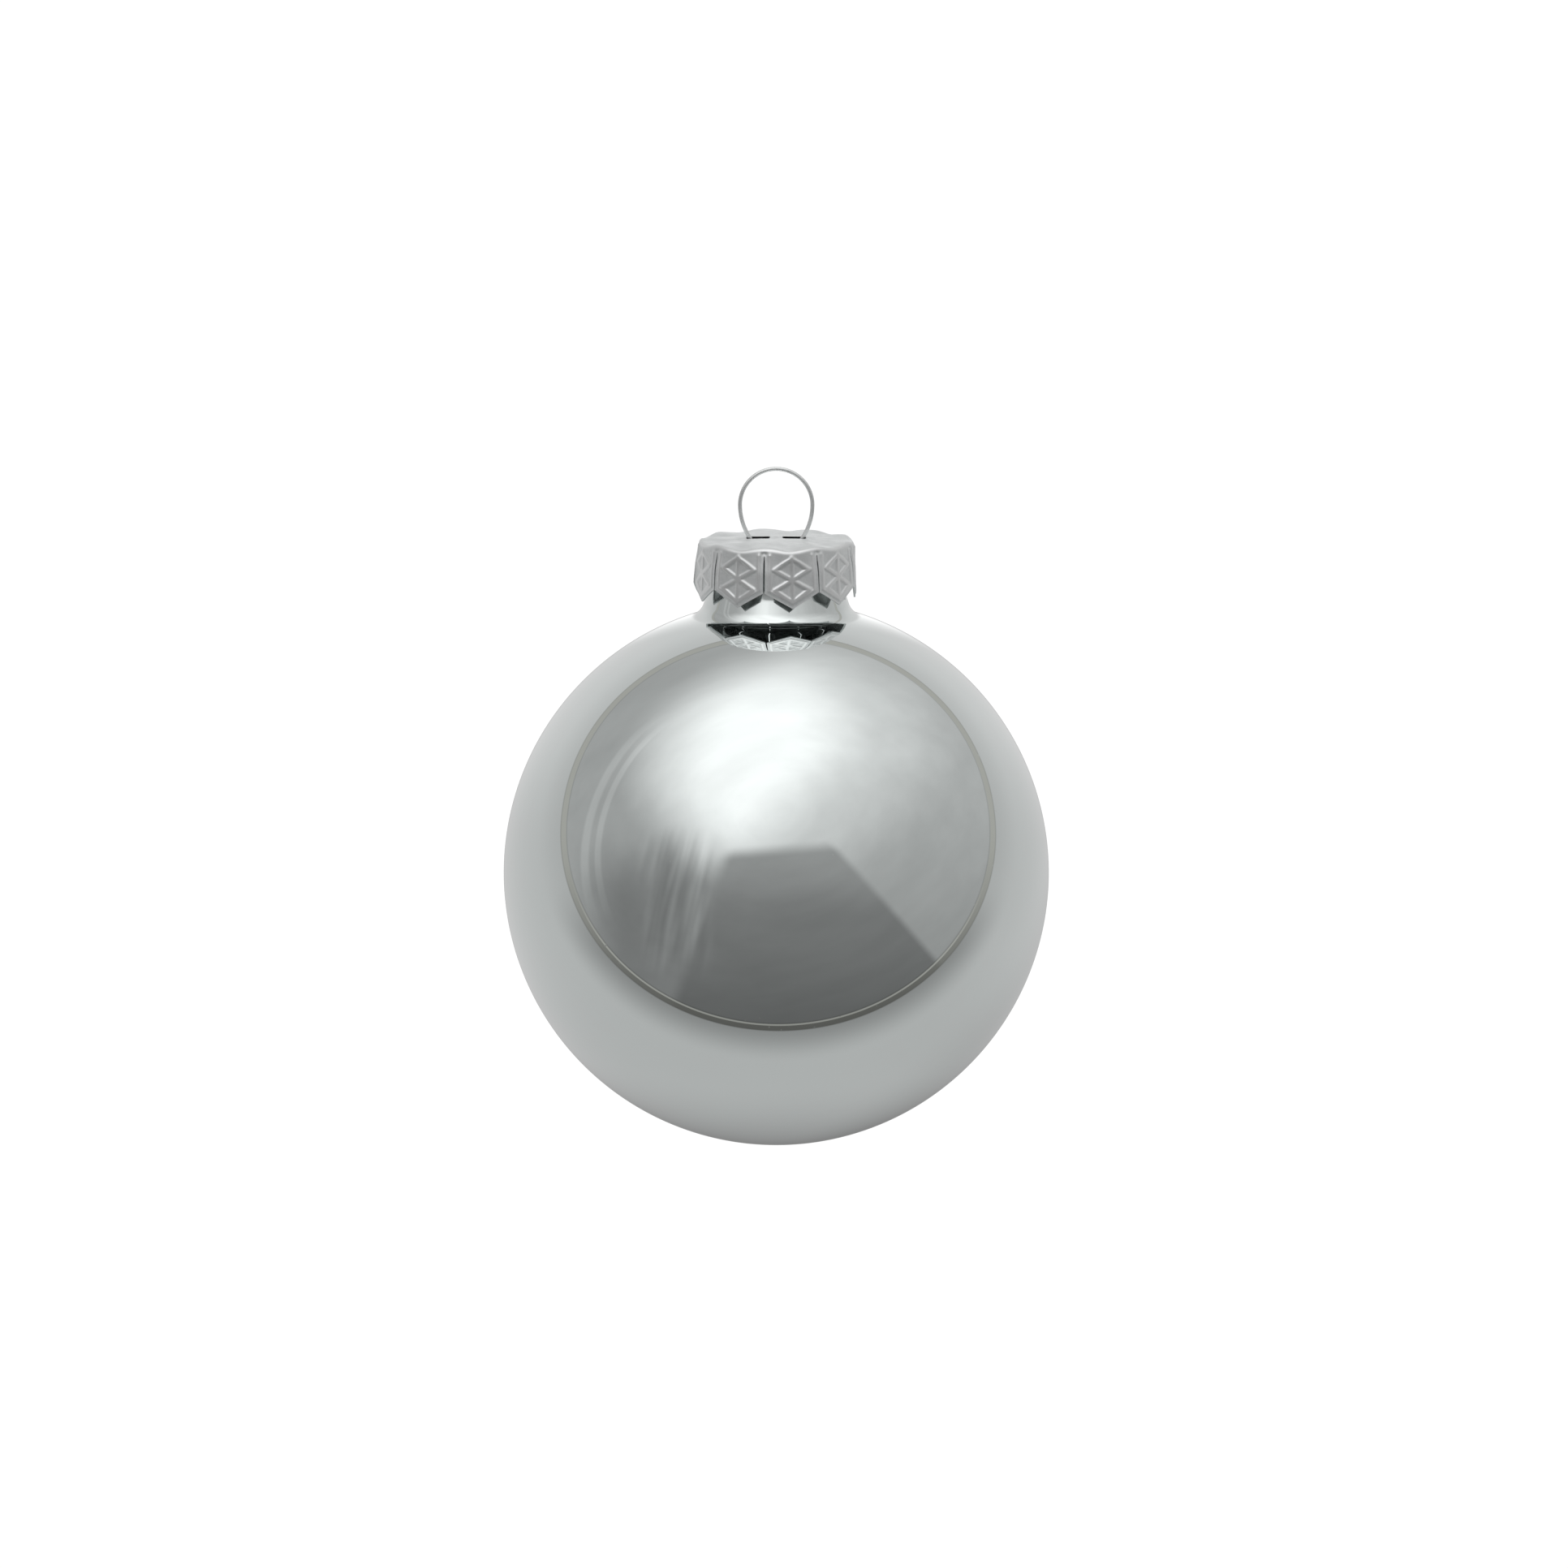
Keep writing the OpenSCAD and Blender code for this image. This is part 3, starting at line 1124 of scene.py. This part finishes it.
@dataclass
class Hanger:
    """The wire hanger: a round loop over the cap and two bowed spring legs in the neck.

    Attributes:
        wire: Radius of the wire.
        loop: Radius of the loop to the wire's centre.
        side: Radius of the loop's lower sides.
        waist: Half the distance between the wires at the cap.
        bend: Radius of the bend just under the cap.
        lean: Lean of the legs where the bend ends.
        leg_x: Greatest distance of the legs from the axis.
        tuck: Angle that the legs curve back in by.
        ring_points: Points round the wire.
    """

    wire: float = 0.25
    loop: float = 4.41
    side: float = 7.41
    waist: float = 3.27
    bend: float = 1.5
    lean: float = 45.0
    leg_x: float = 6.993
    tuck: float = 25.0
    ring_points: int = 20

    def arcs(self) -> list[tuple[float, float, float, float, int]]:
        """Returns one side's arcs: centre x and z, radius, sweep and steps, from the top down."""
        loop_z = self.wire - self.loop
        swing = math.degrees(math.acos((self.side - self.loop + self.waist) / self.side))
        bend_x = self.waist + self.bend * math.cos(math.radians(swing))
        plate_z = loop_z - self.side * math.sin(math.radians(swing))
        bend_z = plate_z - self.bend * math.sin(math.radians(swing))
        lean = math.radians(self.lean)
        bow = (self.leg_x - bend_x + self.bend * math.cos(lean)) / (1 - math.cos(lean))
        bow_x = bend_x - (self.bend + bow) * math.cos(lean)
        bow_z = bend_z - (self.bend + bow) * math.sin(lean)
        return [
            (0.0, loop_z, self.loop, -90.0, 40),
            (self.loop - self.side, loop_z, self.side, -swing, 16),
            (bend_x, bend_z, self.bend, swing + self.lean, 14),
            (bow_x, bow_z, bow, -self.lean - self.tuck, 30),
        ]

    def build(self) -> bpy.types.Object:
        """Returns the finished hanger."""
        top = self.arcs()[0][1] + self.loop
        bpy.ops.mesh.primitive_circle_add(
            vertices=self.ring_points,
            radius=self.wire * MM,
            location=(0.0, 0.0, top * MM),
            rotation=(0.0, math.pi / 2, 0.0),
        )
        wire = begin("wire_hanger")
        edit(wire)
        for x, z, _, sweep, steps in self.arcs():
            bpy.ops.mesh.spin(
                steps=steps,
                angle=math.radians(sweep),
                center=(x * MM, 0.0, z * MM),
                axis=(0.0, 1.0, 0.0),
            )
        bpy.ops.mesh.edge_face_add()
        bpy.ops.mesh.bevel(offset=0.12 * MM, segments=3)
        bpy.ops.object.mode_set(mode="OBJECT")
        finish_modifier(wire, "MIRROR", use_axis=(True, False, False), merge_threshold=MERGE)
        close_up(wire)
        self._mark_length(wire)
        smooth(wire, 60.0)
        return wire

    def _mark_length(self, wire: bpy.types.Object) -> None:
        """Lays a UV map along the wire: round it on U, its length on V.

        Args:
            wire: The wire to mark.
        """
        points = places(wire)
        best = np.full(len(points), 1e9)
        around, along = np.zeros(len(points)), np.zeros(len(points))
        length = 0.0
        for x, z, radius, sweep, _ in self.arcs():
            dx, dz = np.abs(points[:, 0]) - x, points[:, 2] - z
            reach = np.hypot(dx, dz) - radius
            away = np.hypot(reach, points[:, 1])
            closer = away < best - 1e-3
            best = np.where(closer, away, best)
            turn = np.arctan2(points[:, 1], reach * (-1 if sweep > 0 else 1))
            around = np.where(closer, turn / math.tau, around)
            along = np.where(closer, length + radius * np.arctan2(dz, dx), along)
            length += radius * math.radians(abs(sweep))
        wire.data.uv_layers.new(name="along")
        corners = np.empty(len(wire.data.loops), np.int32)
        wire.data.loops.foreach_get("vertex_index", corners)
        uv = np.stack([np.abs(around[corners]), along[corners]], 1)
        wire.data.uv_layers["along"].data.foreach_set("uv", uv.astype(np.float32).ravel())

    def fit(self) -> None:
        """Builds the hanger and seats it on its body."""
        wire = self.build()
        steel = SpringWire("spring_wire", (0.94, 0.955, 0.95), 0.36, 0.05, 0.04, 0.1, 0.0004)
        wire.data.materials.append(steel.material())
        hand_over(wire, Body.HANGER, Slot.WIRE, "hanger")


def hand_over(piece: bpy.types.Object, body: Body, slot: Slot, *nodes: str) -> None:
    """Hangs a finished piece on its body, and hides the nodes of the part that it stands for.

    Args:
        piece: The finished piece.
        body: The body that it rides on.
        slot: The material slot that its finish comes from; not used.
        *nodes: The nodes of the part that it stands for.
    """
    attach(piece, body.value)
    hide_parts(*nodes)
    log.info("%s: %d faces, rides on %s", piece.name, len(piece.data.polygons), body.value)


# ---------------------------------------------------------------- the studio


@dataclass
class LightTent(Board):
    """Soft white light tent all round the ornament, opening in front, laid out by direction.

    A direction's place is (across, up): its angle from the line to the camera, as a share of a
    half turn, split sideways and upwards.

    Attributes:
        opening: Middle across, middle up, half width and half height of the tent's front hoop.
        gain: Light for a grey of 255, over what a white card shows.
    """

    opening: tuple[float, float, float, float] = (0.008, 0.1425, 0.5875, 0.527)
    gain: float = 1.12

    def __post_init__(self) -> None:
        """Works out each direction's place, its distance from the middle, its Z and the hoop."""
        tilt = math.radians(CAMERA_TILT)
        ray = self.node("ShaderNodeTexCoord", {}).outputs["Generated"]
        axes = (
            (0.0, -math.cos(tilt), math.sin(tilt)),
            (1.0, 0.0, 0.0),
            (0.0, math.sin(tilt), math.cos(tilt)),
            (0.0, 0.0, 1.0),
        )
        kind = "ShaderNodeVectorMath"
        front, side, over, self.height = (
            self.node(kind, {0: ray, 1: axis}, operation="DOT_PRODUCT").outputs["Value"]
            for axis in axes
        )
        self.reach = self.over(self.sum("ARCCOSINE", front), math.pi)
        size = self.sum("SQRT", self.plus(self.times(side, side), self.times(over, over)))
        scale = self.over(self.reach, self.sum("MAXIMUM", size, 1e-5))
        self.across, self.up = self.times(side, scale), self.times(over, scale)
        self.hoop = self._hoop()

    def build(self) -> None:
        """Lays out the light of the whole tent, and shows the camera a white card."""
        hoop, up = self.hoop, self.up
        back = self.times(self.slide(self.height, -0.12, 0.06), self.slide(up, 0.72, 0.94))
        outside = self.blend(back, self._outside(), tone(255) * 1.15)
        outside = self.blend(self.slide(self.reach, 0.92, 1.0), outside, tone(172))
        light = self.blend(self.slide(hoop, 0.99, 1.0), self._inside(), outside)
        band = self.slide(hoop, 0.955, 0.965)
        band = self.times(band, self.slide(hoop, 0.993, 1.0, 1.0, 0.0))
        rim = self.plus(self._ring(hoop, 0.996, 0.006), self._ring(hoop, 0.958, 0.005))
        cloth = self.slide(up, -0.38, 0.12, tone(86), tone(160))
        light = self.blend(self.times(band, 0.8), light, cloth)
        light = self.times(light, self.slide(rim, 0.0, 1.0, 1.0, 0.84))
        shine = self.times(self._ring(hoop, 0.966, 0.006), self.slide(up, 0.0, -0.25))
        light = self.share(shine, 0.17, light)
        warm = self.tint(band, WHITE, (1.0, 0.985, 0.925, 1.0))
        strength = self.times(light, self.gain)
        tent = self.node("ShaderNodeBackground", {"Color": warm, "Strength": strength})
        card = self.node("ShaderNodeBackground", {"Color": WHITE, "Strength": CARD_LIGHT})
        seen = self.node("ShaderNodeLightPath", {}).outputs["Is Camera Ray"]
        both = self.node("ShaderNodeMixShader", {0: seen, 1: tent.outputs[0], 2: card.outputs[0]})
        self.node("ShaderNodeOutputWorld", {"Surface": both.outputs[0]})

    def _ring(self, value: Socket, middle: float, half: float) -> Socket:
        """Returns a thin line where a value is near its middle, from 0 to 1."""
        away = self.sum("ABSOLUTE", self.minus(value, middle))
        return self.slide(away, half, half * 0.4)

    def _hoop(self) -> Socket:
        """Returns a number that is 1 on the hoop, less inside it and more outside."""
        middle_x, middle_y, half_x, half_y = self.opening
        x = self.sum("ABSOLUTE", self.over(self.minus(self.across, middle_x), half_x))
        rise = self.over(self.minus(self.up, middle_y), half_y)
        power = self.slide(rise, -0.1, 0.3, 2.0, 2.1)
        y = self.sum("ABSOLUTE", rise)
        total = self.plus(self.sum("POWER", x, power), self.sum("POWER", y, power))
        return self.sum("POWER", total, self.over(1.0, power))

    def _outside(self) -> Socket:
        """Returns the light of the white cloth and floor outside the hoop."""
        up = self.up
        sides = self.slide(self.reach, 0.55, 0.97, tone(177), tone(190))
        sides = self.plus(sides, self.slide(up, 0.05, 0.5, 0.0, 0.07))
        lower = self.slide(up, -0.55, -1.05, tone(174), tone(115))
        lower = self.times(lower, self.slide(self.across, 0.15, 0.75, 1.0, 0.93))
        down = self.over(self.times(up, -1.0), self.sum("MAXIMUM", self.reach, 0.01))
        light = self.blend(self.slide(down, 0.25, 0.9), sides, lower)
        corner = self.slide(self.minus(self.across, up), 0.85, 1.2, 1.0, 0.88)
        shade = self.times(
            self.slide(self.hoop, 1.18, 0.97), self.slide(up, -0.02, -0.22, 0.10, 0.46)
        )
        return self.times(light, self.times(corner, self.minus(1.0, shade)))

    def _inside(self) -> Socket:
        """Returns the light of the tent's front, inside the hoop."""
        across, up = self.across, self.up
        right = self.slide(up, -0.3, 0.3, tone(142), tone(171))
        murk = self.times(self.slide(across, -0.58, -0.36), self.slide(up, 0.14, -0.08))
        left = self.blend(murk, tone(156), tone(116))
        light = self._glow(self.blend(self.slide(across, -0.4, 0.3), left, right))
        dark = self.slide(up, 0.05, -0.12, tone(143), tone(114))
        dark = self.times(dark, self.slide(up, -0.1, -0.38, 1.0, 0.68))
        light = self.blend(self._shadow(), light, dark)
        place = self.node("ShaderNodeCombineXYZ", {"X": self.hoop, "Y": up, "Z": across}).outputs[0]
        creases = self.noise(self.stretch(place, (9.0, 14.0, 5.0), (20, 0, 0)), 1.0, 3.0)
        crease = self.share(self.minus(creases, 0.5), 0.2, 1.0)
        return self.times(light, self.plus(crease, self._folds(place)))

    def _glow(self, cloth: Socket) -> Socket:
        """Returns the light of the cloth with the lamp's glow on it.

        Args:
            cloth: Light of the plain cloth.

        Returns:
            The light.
        """
        across, up = self.across, self.up
        over = self.minus(up, 0.28)
        bow = self.share(self.times(over, over), -2.7, across)
        left = self.slide(bow, -0.44, -0.12)
        slant = self.share(self.sum("MINIMUM", up, 0.3), -0.655, self.times(across, 0.757))
        halo = self.slide(slant, 0.22, -0.06, 0.0, 0.24)
        core = self.slide(slant, 0.0, -0.18, 0.0, 0.38)
        spread = self.times(left, self.slide(up, 0.7, 0.38))
        return self.share(self.plus(halo, core), spread, cloth)

    def _folds(self, place: Socket) -> Socket:
        """Returns how much the folds of the cloth lighten it, near 0.

        Args:
            place: Hoop, up and across as one place.

        Returns:
            The share to add, near 0.
        """
        across, up = self.across, self.up
        low = self.times(
            self.slide(across, -0.35, -0.28),
            self.slide(across, -0.13, -0.18),
            self.slide(up, 0.13, 0.04),
            self.slide(up, -0.28, -0.14),
        )
        waves = self.noise(self.stretch(place, (1.0, 4.0, 40.0), (-14, 0, 0)), 1.0, 1.0)
        waves = self.times(self.minus(waves, 0.44), low)
        spiral = self.share(up, 0.43, self.hoop)
        arcs = self.times(
            self.plus(self._ring(spiral, 0.883, 0.03), self._ring(spiral, 0.815, 0.022)),
            self.slide(up, 0.42, 0.27),
            self.slide(up, -0.16, 0.04),
            self.slide(across, -0.2, -0.34),
        )
        return self.share(waves, 1.05, self.times(arcs, 0.2))

    def _shadow(self) -> Socket:
        """Returns the share of the dark opening under the lens, from 0 to 1."""
        across, up = self.across, self.up
        roof = self.slide(self.share(across, -0.08, up), 0.074, 0.038)
        left = self.slide(self.share(up, -0.37, across), -0.155, -0.11)
        slant = self.plus(self.times(across, 0.729), self.times(up, 0.684))
        right = self.slide(slant, 0.129, 0.153, 1.0, 0.0)
        return self.times(roof, right, left)


@dataclass
class Studio:
    """Camera, floor and light.

    Attributes:
        aim: Point that the camera looks at, in metres.
        distance: Distance of the camera from it, in metres.
        lens: Focal length of the lens.
        sensor: Width of the camera's sensor.
        floor_r: Radius of the floor, in metres.
    """

    aim: tuple[float, float, float] = (0.00095, 0.0, -0.03868)
    distance: float = 0.8
    lens: float = 149.73
    sensor: float = 36.0
    floor_r: float = 6.0

    def build(self) -> None:
        """Sets the camera, the floor, the light and the plain view."""
        tilt = math.radians(CAMERA_TILT)
        back = Vector((0.0, -math.cos(tilt), math.sin(tilt)))
        bpy.ops.object.camera_add(location=Vector(self.aim) + back * self.distance)
        camera = bpy.context.object
        camera.rotation_euler = (-back).to_track_quat("-Z", "Y").to_euler()
        camera.data.lens = self.lens
        camera.data.sensor_width = self.sensor
        camera.data.clip_start, camera.data.clip_end = 0.01, 100.0
        bpy.context.scene.camera = camera
        bpy.context.scene.view_settings.view_transform = "Standard"
        self._floor()
        world = bpy.data.worlds.new("light_tent")
        LightTent(emptied(world)).build()
        bpy.context.scene.world = world

    def _floor(self) -> None:
        """Lays a wide pale floor under the ornament that burns out to white."""
        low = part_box("glass_ball")[0].z
        place = (0.0, 0.0, low - DOWN_TO_FLOOR * MM)
        bpy.ops.mesh.primitive_circle_add(
            vertices=64, radius=self.floor_r, fill_type="NGON", location=place
        )
        floor = begin("floor")
        material = bpy.data.materials.new("pale_floor")
        board = Board(emptied(material))
        card = board.node("ShaderNodeEmission", {"Color": WHITE, "Strength": CARD_LIGHT})
        board.node("ShaderNodeOutputMaterial", {"Surface": card.outputs[0]})
        floor.data.materials.append(material)
        floor.visible_diffuse = False
        floor.visible_glossy = False
        floor.visible_transmission = False
        floor.visible_shadow = False


def main() -> None:
    """Builds the ornament round the part."""
    logging.basicConfig(level=logging.INFO, format="%(name)s: %(message)s")
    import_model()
    Studio().build()
    Ball.from_frame().fit()
    CrownCap.from_frame().fit()
    Hanger().fit()


if __name__ == "__main__":
    main()
